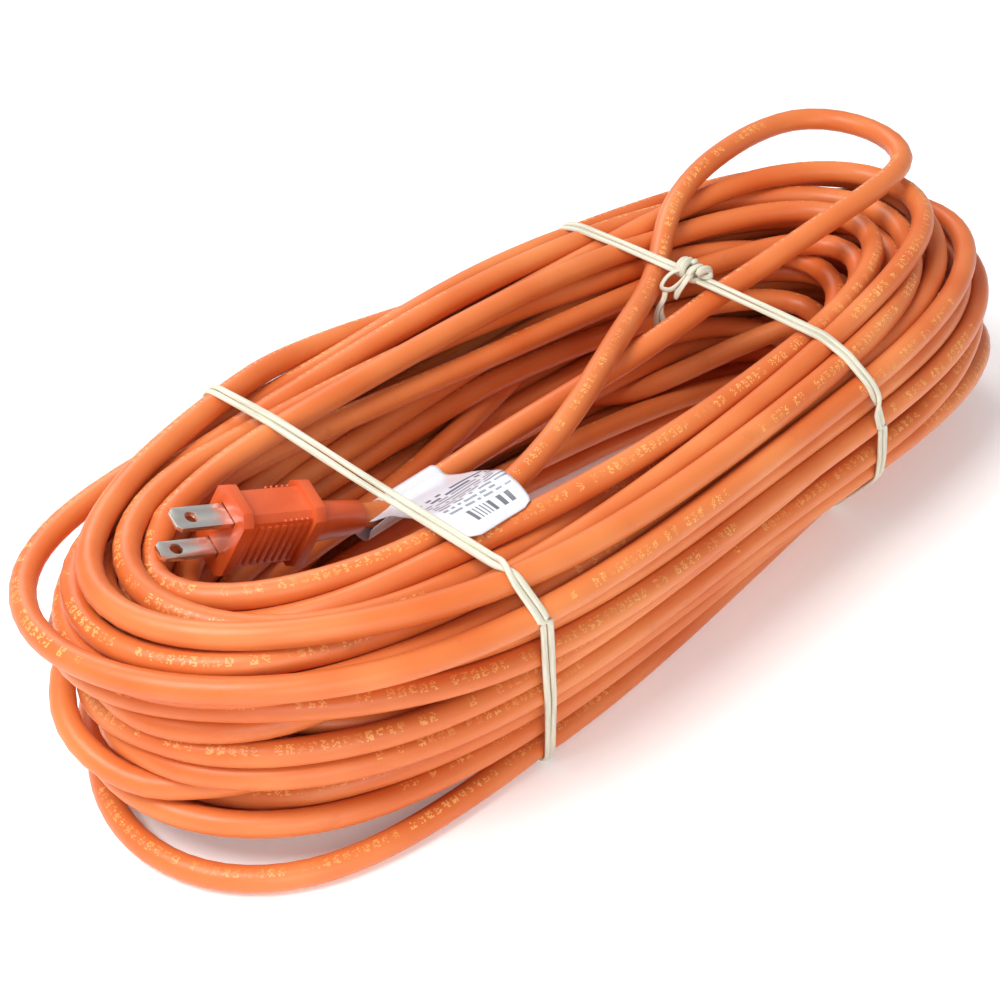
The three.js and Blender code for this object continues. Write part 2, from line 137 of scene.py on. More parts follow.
def makeCamera():
    a, e = math.radians(view["azimuth"]), math.radians(view["elevation"])
    right = Vector((math.cos(a), math.sin(a), 0))
    back = Vector((math.sin(a) * math.cos(e), -math.cos(a) * math.cos(e), math.sin(e)))
    up = back.cross(right)
    data = bpy.data.cameras.new("camera")
    data.sensor_width, data.lens = 36.0, view["lens"]
    data.clip_start, data.clip_end = 0.05, 20.0
    camera = bpy.data.objects.new("camera", data)
    place = Vector(view["aim"]) + back * view["distance"] + right * view["right"] + up * view["up"]
    camera.matrix_world = Matrix.Translation(place * mm) @ Matrix((right, up, back)).transposed().to_4x4()
    scene.collection.objects.link(camera)
    scene.camera = camera


def makeStudio():
    material, _ = newMaterial("matte white studio floor")
    finishMaterial(material, {"Base Color": hexColour("#fdfdfc"), "Roughness": 0.9,
                              "Emission Color": (1, 1, 1, 1), "Emission Strength": 0.14})
    floor = meshObject("floor", [(-6, -6, 0), (6, -6, 0), (6, 6, 0), (-6, 6, 0)], [(0, 1, 2, 3)], material)
    floor.location.z = -0.0004
    world = bpy.data.worlds.new("studio")
    world.use_nodes = True
    background = world.node_tree.nodes["Background"]
    background.inputs["Color"].default_value = hexColour("#fbfbff")
    background.inputs["Strength"].default_value = 0.42
    scene.world = world
    lamps = [  # name, place, size, watts
        ("key", (-0.62, 0.08, 1.05), 0.6, 11.7),
        ("fill", (-0.75, -1.1, 0.6), 0.9, 8.0),
        ("rim", (0.35, 1.1, 1.0), 0.8, 8.0),
    ]
    for name, place, size, power in lamps:
        data = bpy.data.lights.new(name, "AREA")
        data.shape, data.size, data.energy = "DISK", size, power
        lamp = bpy.data.objects.new(name, data)
        lamp.location = place
        lamp.rotation_mode = "QUATERNION"
        lamp.rotation_quaternion = (Vector((0, 0, 0.03)) - Vector(place)).to_track_quat("-Z", "Y")
        scene.collection.objects.link(lamp)
    scene.view_settings.view_transform = "Standard"


makeCamera()
makeStudio()
print("camera, floor and light made")


# where the two ends are, as in the CAD source (millimetres)

plugPlace = dict(position=(-133, 12, 76), heading=171, pitch=19, roll=-16)
outletPlace = dict(position=(-46, -6, 9.81), heading=180, pitch=0, roll=90)


def placeMatrix(place):
    rx, rz = math.radians(place["roll"]), math.radians(place["heading"])
    ry = -math.radians(place["pitch"])
    turn = Matrix.Rotation(rz, 4, "Z") @ Matrix.Rotation(ry, 4, "Y") @ Matrix.Rotation(rx, 4, "X")
    return Matrix.Translation(Vector(place["position"])) @ turn


def placed(place, point):
    return placeMatrix(place) @ Vector(point)


# the cord: its route, wound turn by turn and then settled

cordSizes = dict(diameter=7.7, length=30500.0, turns=40, sides=16, ringStep=6.0, simStep=11.0)
hankTop = 80.0
underTie, onTop = -5.35, 6.8
leadRoute = [
    (-77, 3.6, -22.8), (-60.5, 3.2, -21.2), (-44, 2.8, -19.6),
    (-30, 2, -18), (-12, 0, -15.4), (8, -2, -13), (28, -3.5, -10.5), (48, -4, -8), (64, -4, underTie - 0.6),
    (84, -6, -2.4), (108, -8, 1.8), (130, -10, onTop - 1.2), (147, -9.2, onTop), (162, -5, onTop),
    (170.8, 4.5, onTop), (174, 18, onTop), (170.8, 31.5, onTop), (162, 41, onTop), (146, 45.4, onTop),
    (123, 45, onTop - 0.6),
    (103, 42, onTop - 2.6), (87, 37, 0.6), (77, 31.5, -2.4), (67, 24.8, underTie),
    (57, 18.6, underTie - 0.8), (44, 11.5, -5.6), (22, 1.5, -4.4), (-2, -9.5, -3.8), (-24, -18.5, -3.8),
    (-44, -25.5, -4.5), (-58, -32, -7),
]
tailRoute = [(84, -20.5, 5.6), (62, -14, 6), (40, -9, 7.2), (22, -6.3, 9)]
# The outermost and innermost lines of the turns seen from above, at the hank's top and foot,
# matched point to point. They run the way the cord was wound: along the front, round the
# plug's end, along the back and round the far end.
wallLines = dict(
    outerTop=[
        (0, -66), (-60, -69), (-98, -66), (-124, -60), (-149, -50), (-168, -34), (-185, -18), (-198, 8),
        (-187, 38), (-162, 52), (-135, 50), (-94, 48), (-39, 67), (15, 73), (61, 51), (98, 58),
        (133, 59), (162, 43), (192, 24), (196, -18), (174, -43), (143, -52), (100, -56), (50, -61),
    ],
    outerMiddle=[
        (0, -64), (-60, -70), (-96, -68), (-124, -60), (-150, -50), (-172, -37), (-186, -17), (-192, 9),
        (-188, 36), (-165, 56), (-135, 57), (-96, 50), (-40, 66), (15, 71), (61, 55), (98, 58),
        (134, 52), (164, 39), (185, 20), (194, -11), (178, -36), (155, -59), (106, -72), (52, -63),
    ],
    outerFoot=[
        (-2, -55), (-60, -55), (-92, -49), (-119, -50), (-147, -53), (-171, -38), (-181, -12), (-180, 12),
        (-172, 33), (-159, 51), (-138, 62), (-98, 66), (-40, 68), (15, 66), (62, 62), (98, 58),
        (134, 50), (160, 35), (174, 14), (179, -9), (176, -31), (148, -43), (104, -29), (52, -33),
    ],
    innerTop=[
        (0, -38), (-58, -41), (-92, -44), (-115, -42), (-137, -34), (-155, -19), (-166, -3), (-167, 11),
        (-162, 26), (-150, 36), (-130, 38), (-98, 31), (-50, 34), (10, 35), (56, 30), (88, 29),
        (112, 25), (129, 15), (138, 3), (137, -10), (129, -22), (110, -30), (80, -33), (42, -36),
    ],
    innerFoot=[
        (0, -25), (-58, -26), (-90, -26), (-110, -22), (-124, -15), (-133, -6), (-137, 2), (-138, 12),
        (-135, 21), (-128, 28), (-112, 32), (-90, 31), (-50, 28), (10, 25), (56, 24), (88, 26),
        (108, 25), (123, 17), (131, 5), (130, -8), (123, -19), (108, -26), (80, -27), (42, -26),
    ],
)
# Each tie's place at half the hank's height, how far it leans, and its two strands
ties = dict(
    tie_front=dict(x=-86, lean=0.2, strandWidth=2.2, strandDepth=1.35, spread=1.2, crossing=0.955, seed=3),
    tie_rear=dict(x=71, lean=0.3, strandWidth=2.0, strandDepth=1.3, spread=1.08, crossing=0.97, seed=8),
)
columns, rows, rowHeight = 4, 10, 8.0  # the row on the floor has one column more
swaps = dict(count=40, reach=11.0, run=0.13)  # run is a share of a lap


def tieX(tie, z):
    return tie["x"] - tie["lean"] * (z - hankTop / 2)


def closedSpline(points):
    # a closed Catmull-Rom curve, 16 points to a span
    p = np.array(points, float)
    n = len(p)
    out = []
    for i in range(n):
        a, b, c, d = p[(i - 1) % n], p[i], p[(i + 1) % n], p[(i + 2) % n]
        for t in np.linspace(0, 1, 16, endpoint=False):
            out.append(0.5 * (2 * b + (c - a) * t + (2 * a - 5 * b + 4 * c - d) * t ** 2
                              + (3 * b - a - 3 * c + d) * t ** 3))
    return np.array(out)


def resample(points, step=None, count=None):
    along = distances(points)
    n = count or max(2, int(round(along[-1] / step)) + 1)
    at = np.linspace(0, along[-1], n)
    return np.stack([np.interp(at, along, points[:, k]) for k in range(3)], axis=1)


def between(u, low, high, first, second):
    return (high - u) / (high - low) * first + (u - low) / (high - low) * second


def openSpline(points, perSpan=12):
    # centripetal Catmull-Rom, as the CAD route is drawn
    p = np.array(points, float)
    p = np.vstack([2 * p[0] - p[1], p, 2 * p[-1] - p[-2]])
    out = []
    for i in range(1, len(p) - 2):
        t = [0.0]
        for k in range(3):
            t.append(t[-1] + max(1e-6, np.linalg.norm(p[i + k] - p[i + k - 1])) ** 0.5)
        for u in np.linspace(t[1], t[2], perSpan, endpoint=False):
            a = [between(u, t[k], t[k + 1], p[i + k - 1], p[i + k]) for k in range(3)]
            b = [between(u, t[k], t[k + 2], a[k], a[k + 1]) for k in range(2)]
            out.append(between(u, t[1], t[2], *b))
    out.append(p[-2])
    return np.array(out)


def smoothNoise(rng, count, knots):
    values = np.clip(rng.normal(size=knots), -2, 2)
    at = np.linspace(0, knots - 1, count)
    low = np.floor(at).astype(int).clip(0, knots - 2)
    f = at - low
    f = f * f * (3 - 2 * f)
    return values[low] * (1 - f) + values[low + 1] * f


def eased(value):
    value = np.clip(value, 0, 1)
    return value * value * (3 - 2 * value)


def windTurns():
    # Every turn is one lap: it lies in one place of the wall's cross-section and moves to the
    # next place along the back. Here and there two neighbours change places and change back.
    rng = np.random.default_rng(11)
    lap = 96  # points in a lap, before the even resampling
    lines = {name: closedSpline(line) for name, line in wallLines.items()}
    size = len(lines["outerTop"])
    order = []
    for row in range(rows - 1, -1, -1):
        wide = columns - 1 if row else columns
        line = list(range(wide, -1, -1))
        if (rows - 1 - row) % 2:
            line.reverse()
        order += [(column / wide * (0.86 if row else 1.0) + (0.14 if row % 2 else 0.0), row) for column in line]
    order = np.array(order[:cordSizes["turns"] + 1])
    laps = len(order) - 1
    share = np.linspace(0, 1, lap, endpoint=False)
    move = eased((share - 0.34) / 0.4)
    places = order[:-1, None] + (order[1:] - order[:-1])[:, None] * move[None, :, None]
    scale = np.array([30, rowHeight])
    for _ in range(swaps["count"]):
        at, far = rng.uniform(0.02, 0.7), rng.uniform(0.1, 0.3)
        k = int(at * lap)
        i = rng.integers(1, laps)
        apart = np.linalg.norm((places[:, k] - places[i, k]) * scale, axis=1)
        near = [j for j in np.nonzero((apart < swaps["reach"]) & (apart > 0.1))[0] if j != 0]
        if not near:
            continue
        j = int(near[rng.integers(len(near))])
        if min(places[i, k, 1], places[j, k, 1]) < 0.7:
            continue
        mix = eased((share - at) / swaps["run"]) - eased((share - at - far) / swaps["run"])
        turn = math.pi * mix * rng.choice([-1, 1])
        middle = (places[i] + places[j]) / 2
        half = (places[i] - places[j]) / 2 * scale
        turned = np.stack([half[:, 0] * np.cos(turn) - half[:, 1] * np.sin(turn),
                           half[:, 0] * np.sin(turn) + half[:, 1] * np.cos(turn)], axis=1) / scale
        places[i], places[j] = middle + turned, middle - turned
    flat = places.reshape(-1, 2)
    flat[:, 0] += smoothNoise(rng, len(flat), laps * 6) * 0.03
    flat[:, 1] += smoothNoise(rng, len(flat), laps * 6) * 0.12
    lapNumber = (np.arange(laps)[:, None] + share[None]).ravel()
    at = (np.tile(share, laps) * size).astype(int) % size
    lift = np.clip(flat[:, 1] / (rows - 1), 0, 1)
    inset = np.clip(flat[:, 0], -0.03, 1.03)
    # the stack's shoulders are rounded off, most of all at the two ends
    ends = np.abs(np.cos(np.pi * (np.tile(share, laps) - 0.04) * 2 - np.pi * 0.5)) ** 2
    shoulder = np.clip((lift - 0.86) / 0.14, 0, 1) * (0.12 + 0.2 * ends)
    inset = inset + (1 - inset) * shoulder
    low, high = np.clip(1 - 2 * lift, 0, 1)[:, None], np.clip(2 * lift - 1, 0, 1)[:, None]
    outer = lines["outerFoot"][at] * low + lines["outerTop"][at] * high + lines["outerMiddle"][at] * (1 - low - high)
    inner = lines["innerFoot"][at] * (1 - lift)[:, None] + lines["innerTop"][at] * lift[:, None]
    spot = outer * (1 - inset)[:, None] + inner * inset[:, None]
    height = cordSizes["diameter"] / 2 + np.maximum(0, flat[:, 1]) * rowHeight
    return np.column_stack([spot, height]), lapNumber


def bulge(points, laps, lapNumber, centre, width, push):
    # one strand stands away from the stack for a while
    phase = laps - lapNumber
    weight = np.exp(-((phase - centre) / width) ** 2) * (np.abs(phase - centre) < 3 * width)
    points += weight[:, None] * np.array([*push, 0.0])


def closestOnSegments(p, a, b):
    u, v = p[a + 1] - p[a], p[b + 1] - p[b]
    w = p[a] - p[b]
    uu, uv, vv = (u * u).sum(1), (u * v).sum(1), (v * v).sum(1)
    uw, vw = (u * w).sum(1), (v * w).sum(1)
    det = uu * vv - uv * uv
    safe = det > 1e-6 * uu * vv
    s = np.where(safe, (uv * vw - vv * uw) / np.where(safe, det, 1), 0.5).clip(0, 1)
    t = ((s * uv + vw) / vv).clip(0, 1)
    s = ((t * uv - uw) / uu).clip(0, 1)
    apart = w + s[:, None] * u - t[:, None] * v
    return s, t, apart, np.sqrt((apart * apart).sum(1)) + 1e-9


def nearPairs(p, reach, skip):
    middle = ((p[1:] + p[:-1]) / 2).astype(np.float32)
    found = []
    for start in range(0, len(middle), 400):
        block = middle[start:start + 400]
        d2 = ((block[:, None] - middle[None]) ** 2).sum(2)
        i, j = np.nonzero(d2 < reach * reach)
        i += start
        keep = j - i > skip
        found.append(np.stack([i[keep], j[keep]]))
    return np.concatenate(found, axis=1)


# How strongly each round of settling pulls, straightens and parts the strands
settling = dict(pull=0.05, pullAtEnd=0.012, bending=0.05, middleStride=0.8, longStride=0.6, weight=0.04, passes=3,
                sharing=0.8, overshoot=1.3, overTie=1.5, tieWidth=8, tight=0.93)


def settle(points, target, loose, rounds):
    # position-based relaxation: stiff in bending, strands a diameter apart, floor and ends solid
    p = points.copy()
    d = cordSizes["diameter"]
    n = len(p)
    plugLine = np.array([placed(plugPlace, (x, 0, 0)) for x in (16, -2, -14, -26, -44)])
    plugRadius = np.array([8.5, 14.5, 14.0, 13.0, 6.0])
    outletLine = np.array([placed(outletPlace, (x, y, z)) for x in (0, -10, -20, -30) for y, z in ((0, 6), (0, -6))]
                          + [placed(outletPlace, (-44, 0, 0))])
    outletRadius = np.array([10.0] * 8 + [6.5])
    solid = np.concatenate([plugLine, outletLine])
    radius = np.concatenate([plugRadius, outletRadius]) + d / 2
    for turn in range(rounds):
        if turn % 12 == 0:
            a, b = nearPairs(p, cordSizes["simStep"] + d + 4, 4)
        pull = settling["pull"] * (1 - turn / rounds) + settling["pullAtEnd"]
        move = (target - p) * pull
        bend = np.zeros_like(p)
        bend[2:-2] = p[:-4] - 4 * p[1:-3] + 6 * p[2:-2] - 4 * p[3:-1] + p[4:]
        bend[4:-4] += settling["middleStride"] * (p[:-8] - 4 * p[2:-6] + 6 * p[4:-4] - 4 * p[6:-2] + p[8:])
        bend[6:-6] += settling["longStride"] * (p[:-12] - 4 * p[3:-9] + 6 * p[6:-6] - 4 * p[9:-3] + p[12:])
        move -= bend * settling["bending"]
        move[:, 2] -= settling["weight"]
        p += move * loose[:, None]
        for _ in range(settling["passes"]):
            s, t, apart, gap = closestOnSegments(p, a, b)
            hit = gap < d
            i, j, s1, t1 = a[hit], b[hit], s[hit], t[hit]
            push = (apart[hit] / gap[hit][:, None]) * ((d - gap[hit]) * 0.5)[:, None]
            total = np.zeros_like(p)
            count = np.zeros(n)
            for index, weight, sign in ((i, 1 - s1, 1), (i + 1, s1, 1), (j, 1 - t1, -1), (j + 1, t1, -1)):
                for k in range(3):
                    total[:, k] += np.bincount(index, push[:, k] * weight * sign, n)
                count += np.bincount(index, weight, n)
            shared = np.maximum(1.0, count * settling["sharing"])[:, None]
            p += total / shared * loose[:, None] * settling["overshoot"]
            for centre, r in zip(solid, radius):
                away = p - centre
                far = np.linalg.norm(away, axis=1)
                inside = (far < r) & (loose > 0)
                p[inside] += away[inside] / far[inside][:, None] * ((r - far[inside]) * 0.5)[:, None]
            ground = d / 2 + sum(
                settling["overTie"] * np.exp(-((p[:, 0] - tieX(tie, 0)) / settling["tieWidth"]) ** 2)
                for tie in ties.values())
            p[:, 2] = np.maximum(p[:, 2], ground)
    s, t, apart, gap = closestOnSegments(p, *nearPairs(p, cordSizes["simStep"] + d + 4, 4))
    tight = int((gap < settling["tight"] * d).sum())
    print(f"settled: {tight} tight contacts of {len(gap)}, smallest {gap.min():.2f} mm")
    return p


def cordRoute():
    # from inside the plug, along the lead, round every turn and back to the outlet
    leadStart = [placed(plugPlace, (x, 0, 0)) for x in (-28.7, -37.95, -47.2, -54.9)]
    lead = openSpline([tuple(q) for q in leadStart] + [(x, y, z + hankTop) for x, y, z in leadRoute])
    outletEnd = [placed(outletPlace, (x, 0, 0)) for x in (-58.2, -50.5, -41.25, -32)]
    tail = openSpline([*tailRoute, *[tuple(q) for q in outletEnd]])
    turns, laps = windTurns()
    bulge(turns, laps, 4, 0.39, 0.055, (-8, 17))
    bulge(turns, laps, 36, 0.27, 0.05, (-10, -3))
    bulge(turns, laps, 36, 0.18, 0.06, (-5, -12))
    bulge(turns, laps, 27, 0.84, 0.05, (10, -11))
    # the first turn starts under the label, the last leaves at the far end
    first = int(np.argmax(laps > 0.11))
    last = int(np.argmax(laps > cordSizes["turns"] - 0.1))
    turns, laps = turns[first:last], laps[first:last]
    whole = np.concatenate([lead, turns, tail])
    along = distances(whole)
    count = int(round(along[-1] / cordSizes["simStep"])) + 1
    at = np.linspace(0, along[-1], count)
    target = resample(whole, count=count)
    leadEnd, tailStart = along[len(lead) - 1], along[len(lead) + len(turns)]
    loose = np.clip((at - leadEnd + 60) / 160, 0, 1) * np.clip((tailStart + 40 - at) / 120, 0, 1)
    smoothed = target.copy()
    for _ in range(6):
        smoothed[1:-1] += loose[1:-1, None] * ((smoothed[:-2] + smoothed[2:]) / 2 - smoothed[1:-1]) * 0.5
    return settle(smoothed, target, loose, 300)


def evenRings(route):
    fine = openSpline(route, 6)
    return resample(fine, cordSizes["ringStep"])


def tubeMesh(name, rings, radius, sides, material):
    # a closed tube; its UV map runs in metres along the cord and once around it
    tangent = unit(np.gradient(rings, axis=0))
    up = np.array([0, 0, 1.0])
    side = np.cross(tangent, up)
    for i in range(len(side)):  # carried along where the cord runs nearly upright
        length = np.linalg.norm(side[i])
        if length < 0.25 and i:
            side[i] = side[i - 1] - tangent[i] * side[i - 1].dot(tangent[i])
            length = np.linalg.norm(side[i])
        side[i] /= length
    top = np.cross(side, tangent)
    angle = np.linspace(0, 2 * np.pi, sides, endpoint=False)
    around = np.cos(angle)[None, :, None] * top[:, None] + np.sin(angle)[None, :, None] * side[:, None]
    verts = (rings[:, None] + radius * around).reshape(-1, 3) * mm
    n = len(rings)
    i = np.arange(n - 1)[:, None] * sides
    k = np.arange(sides)[None]
    nextK = (k + 1) % sides
    quads = np.stack([i + k, i + nextK, i + sides + nextK, i + sides + k], axis=2).reshape(-1, 4)
    quads = quads[:, ::-1]
    mesh = bpy.data.meshes.new(name)
    vertCount = len(verts) + 2
    mesh.vertices.add(vertCount)
    ends = np.stack([rings[0], rings[-1]]) * mm
    mesh.vertices.foreach_set("co", np.concatenate([verts, ends]).ravel())
    kk = np.arange(sides)
    capA = np.stack([np.full(sides, vertCount - 2), kk, (kk + 1) % sides], axis=1)
    base = (n - 1) * sides
    capB = np.stack([np.full(sides, vertCount - 1), base + (kk + 1) % sides, base + kk], axis=1)
    loops = np.concatenate([quads.ravel(), capA.ravel(), capB.ravel()])
    sizes = np.concatenate([np.full(len(quads), 4), np.full(2 * sides, 3)])
    mesh.loops.add(len(loops))
    mesh.loops.foreach_set("vertex_index", loops)
    mesh.polygons.add(len(sizes))
    starts = np.concatenate([[0], np.cumsum(sizes)[:-1]])
    mesh.polygons.foreach_set("loop_start", starts)
    mesh.polygons.foreach_set("use_smooth", np.ones(len(sizes), bool))
    along = distances(rings) * mm
    layer = mesh.uv_layers.new(name="cordLength")
    ringOf = np.minimum(loops // sides, n - 1)
    columnOf = (loops % sides).astype(float)
    quadColumn = np.repeat(np.tile(np.arange(sides), n - 1), 4)
    inQuads = 4 * len(quads)
    wrap = np.zeros(len(loops))
    wrap[:inQuads] = (quadColumn == sides - 1) & (columnOf[:inQuads] == 0)
    v = (columnOf + wrap * sides) / sides
    u = along[ringOf]
    u[inQuads:], v[inQuads:] = 0.0, 0.5
    layer.data.foreach_set("uv", np.stack([u, v], axis=1).ravel())
    mesh.update(calc_edges=True)
    mesh.validate()
    mesh.materials.append(material)
    piece = bpy.data.objects.new(name, mesh)
    scene.collection.objects.link(piece)
    return piece


# materials

# the darker orange in the pressed marks' dents is painted shade, not a colour the jacket has
jacketFinish = dict(pale="#e4874b", deep="#d2652c", streak="#c9551f", smudge="#a4512c", ink="#f0b76c",
                    press="#9c4a26", markPitch=3.0, markHeight=2.9, printPlace=0.86, printWander=0.10,
                    pressedTurn=0.36, pressedWander=0.12, dotsHigh=7, dotsWide=6.0)


def printMarks(tree, uv, place, wander, seed):
    # A legend reduced to random dot-matrix marks 3 mm apart; it wanders round the cord
    high = jacketFinish["dotsHigh"]
    perTurn = math.pi * cordSizes["diameter"] / jacketFinish["markHeight"] * high
    part = addNode(tree, "ShaderNodeSeparateXYZ", {}, {"Vector": uv})
    made = {"x": part.outputs["X"], "y": part.outputs["Y"]}
    addSteps(tree, made, [
        ("along", "Math MULTIPLY", "x", 1000 / jacketFinish["markPitch"]), ("shifted", "Math ADD", "x", seed),
    ])
    made["drift"] = addNode(tree, "ShaderNodeTexNoise", {"noise_dimensions": "1D", "Scale": 1.7, "Detail": 1.0},
                            {"W": made["shifted"]})
    addSteps(tree, made, [
        ("centre", "Math MULTIPLY_ADD", "drift", 2 * wander, place - wander),
        ("around", "Math SUBTRACT", "y", "centre"), ("row", "Math MULTIPLY", "around", perTurn),
        ("fromMiddle", "Math SUBTRACT", "row", high / 2), ("apart", "Math ABSOLUTE", "fromMiddle"),
        ("inBand", "Math LESS_THAN", "apart", high / 2),
        ("column", "Math MULTIPLY", "along", jacketFinish["dotsWide"]), ("within", "Math FRACT", "along"),
        ("inMark", "Math LESS_THAN", "within", 0.68),
        ("dotX", "Math FLOOR", "column"), ("dotY", "Math FLOOR", "row"),
        ("cell", "CombineXYZ", "dotX", "dotY", seed), ("dot", "TexWhiteNoise", "cell"),
        ("markNumber", "Math FLOOR", "along"),
        ("lines", "Math DIVIDE", "along", 23.0), ("lineNumber", "Math FLOOR", "lines"),
    ])
    for name in ("mark", "line"):
        made[name] = addNode(tree, "ShaderNodeTexWhiteNoise", {"noise_dimensions": "1D"},
                             {"W": made[name + "Number"]})
    addSteps(tree, made, [
        ("marks", "Math GREATER_THAN", "dot", 0.55), ("markOn", "Math GREATER_THAN", "mark", 0.16),
        ("lineOn", "Math GREATER_THAN", "line", 0.4),
        *[("marks", "Math MULTIPLY", "marks", limit) for limit in ("inBand", "inMark", "markOn", "lineOn")],
    ])
    return made["marks"]


def jacketMaterial():
    # Extruded PVC jacket: satin with long soft highlights, slightly uneven, scuffed in places
    material, tree = newMaterial("extruded orange PVC jacket")
    given = addNode(tree, "ShaderNodeTexCoord")
    uv = given.outputs["UV"]
    made = {"place": given.outputs["Object"]}
    for name, scale in (("drawn", (14.0, 9.0, 1.0)), ("fine", (260.0, 26.0, 1.0))):
        made[name] = addNode(tree, "ShaderNodeMapping", {"Scale": scale}, {"Vector": uv})
    addSteps(tree, made, [  # vector, w, scale, detail and roughness
        ("tone", "TexNoise", "place", 0, 22.0, 2.0, 0.55), ("streak", "TexNoise", "drawn", 0, 1.0, 3.0, 0.55),
        ("scuff", "TexNoise", "place", 0, 75.0, 4.0, 0.6), ("wear", "TexNoise", "place", 0, 160.0, 3.0, 0.55),
        ("gloss", "TexNoise", "place", 0, 130.0, 3.0, 0.55), ("grain", "TexNoise", "fine", 0, 1.0, 4.0, 0.55),
    ])
    for name, source, stops in (("smudge", "scuff", [(0.63, (0, 0, 0, 1)), (0.74, (1, 1, 1, 1))]),
                                ("worn", "wear", [(0.36, (0.15, 0.15, 0.15, 1)), (0.6, (1, 1, 1, 1))])):
        made[name] = addNode(tree, "ShaderNodeValToRGB", {"stops": stops}, {"Fac": made[source]})
    spot, wander = jacketFinish["printPlace"], jacketFinish["printWander"]
    made["marks"] = printMarks(tree, uv, spot, wander, 4.0)
    # a second legend pressed into the jacket: the bump dents it, and its dents are also darkened in the colour as
    # painted shade
    made["press"] = printMarks(tree, uv, spot - jacketFinish["pressedTurn"], jacketFinish["pressedWander"], 9.0)
    addSteps(tree, made, [
        ("left", "Math MULTIPLY", "worn", 0.75), ("ink", "Math MULTIPLY", "marks", "left"),
        ("roughness", "Math MULTIPLY_ADD", "gloss", 0.16, 0.33),
        ("dent", "Math MULTIPLY", "press", 0.5), ("height", "Math SUBTRACT", "grain", "dent"),
    ])
    colour = addNode(tree, "ShaderNodeValToRGB", {"stops": [(0.3, hexColour(jacketFinish["deep"])),
                                                            (0.7, hexColour(jacketFinish["pale"]))]},
                     {"Fac": made["tone"]})
    # streaks, smudges and ink are the jacket's own colours; the darkening in the pressed marks is painted shade in
    # their dents
    for name, strength in (("streak", 0.16), ("smudge", 0.22), ("ink", 1.0), ("press", 0.16)):
        addSteps(tree, made, [("amount", "Math MULTIPLY", name, strength)])
        colour = addNode(tree, "ShaderNodeMix", {"data_type": "RGBA", 7: hexColour(jacketFinish[name])},
                         {0: made["amount"], 6: colour})
    bump = addNode(tree, "ShaderNodeBump", {"Strength": 0.12, "Distance": 0.0004}, {"Height": made["height"]})
    return finishMaterial(material, {
        "IOR": 1.5, "Specular IOR Level": 0.42, "Sheen Weight": 0.08, "Sheen Roughness": 0.35,
        "Sheen Tint": hexColour("#ffc9b8"),
    }, {"Base Color": colour, "Roughness": made["roughness"], "Normal": bump})


def mottledMaterial(name, pale, deep, tones, patches, surface, bumps, gloss=None, stretch=None):
    # Two close tones in soft patches, a surface that is a little uneven, and a fine relief.
    # tones: where the patches fade; patches and bumps: noise scale and detail; gloss: noise scale,
    # detail, spread and base; stretch draws the relief and the gloss out along the piece
    material, tree = newMaterial(name)
    place = addNode(tree, "ShaderNodeTexCoord").outputs["Object"]
    made = {"place": place, "drawn": place}
    if stretch:
        made["drawn"] = addNode(tree, "ShaderNodeMapping", {"Scale": stretch}, {"Vector": place})
    for kind, vector, size in (("patches", "place", patches), ("bumps", "drawn", bumps), ("gloss", "drawn", gloss)):
        if size:
            addSteps(tree, made, [(kind, "TexNoise", vector, 0, *size[:2], 0.55)])
    colour = addNode(tree, "ShaderNodeValToRGB", {"stops": list(zip(tones, (hexColour(deep), hexColour(pale))))},
                     {"Fac": made["patches"]})
    bump = addNode(tree, "ShaderNodeBump", {"Strength": bumps[2], "Distance": bumps[3]}, {"Height": made["bumps"]})
    links = {"Base Color": colour, "Normal": bump}
    if gloss:
        addSteps(tree, made, [("roughness", "Math MULTIPLY_ADD", "gloss", *gloss[2:])])
        links["Roughness"] = made["roughness"]
    return finishMaterial(material, surface, links)


def metalMaterial(name, pale, deep, roughness, stretch):
    # Rolled strip: fine rolling lines along the blade, dulled a little in patches
    return mottledMaterial(name, pale, deep, (0.35, 0.65), (180.0, 3.0), {"Metallic": 1.0},
                           (1.0, 4.0, 0.04, 0.0001), (1.0, 4.0, 0.1, roughness), stretch)


def plasticMaterial(name, pale, deep, roughness):
    # A plain moulded or extruded plastic with slight mottling and a fine surface
    return mottledMaterial(name, pale, deep, (0.3, 0.7), (120.0, 3.0), {"Roughness": roughness, "IOR": 1.5},
                           (720.0, 3.0, 0.08, 0.0002))


def tieMaterial():
    # Soft white polymer string: creamy, matte, with fine drawn lines along it
    material, tree = newMaterial("creamy white tie string")
    given = addNode(tree, "ShaderNodeTexCoord")
    drawn = addNode(tree, "ShaderNodeMapping", {"Scale": (60.0, 7.0, 1.0)}, {"Vector": given.outputs["UV"]})
    made = addSteps(tree, {"drawn": drawn, "place": given.outputs["Object"]}, [
        ("fibre", "TexNoise", "drawn", 0, 1.0, 4.0, 0.55), ("patches", "TexNoise", "place", 0, 90.0, 3.0, 0.55),
        ("soft", "Math MULTIPLY", "patches", 0.25),
    ])
    stops = [(0.25, hexColour("#b3af99")), (0.6, hexColour("#dcd7c4"))]
    colour = addNode(tree, "ShaderNodeValToRGB", {"stops": stops}, {"Fac": made["fibre"]})
    colour = addNode(tree, "ShaderNodeMix", {"data_type": "RGBA", 7: hexColour("#cbc6a6")},
                     {0: made["soft"], 6: colour})
    bump = addNode(tree, "ShaderNodeBump", {"Strength": 0.35, "Distance": 0.0003}, {"Height": made["fibre"]})
    return finishMaterial(material, {"Roughness": 0.52, "IOR": 1.5, "Sheen Weight": 0.15, "Sheen Roughness": 0.5},
                          {"Base Color": colour, "Normal": bump})


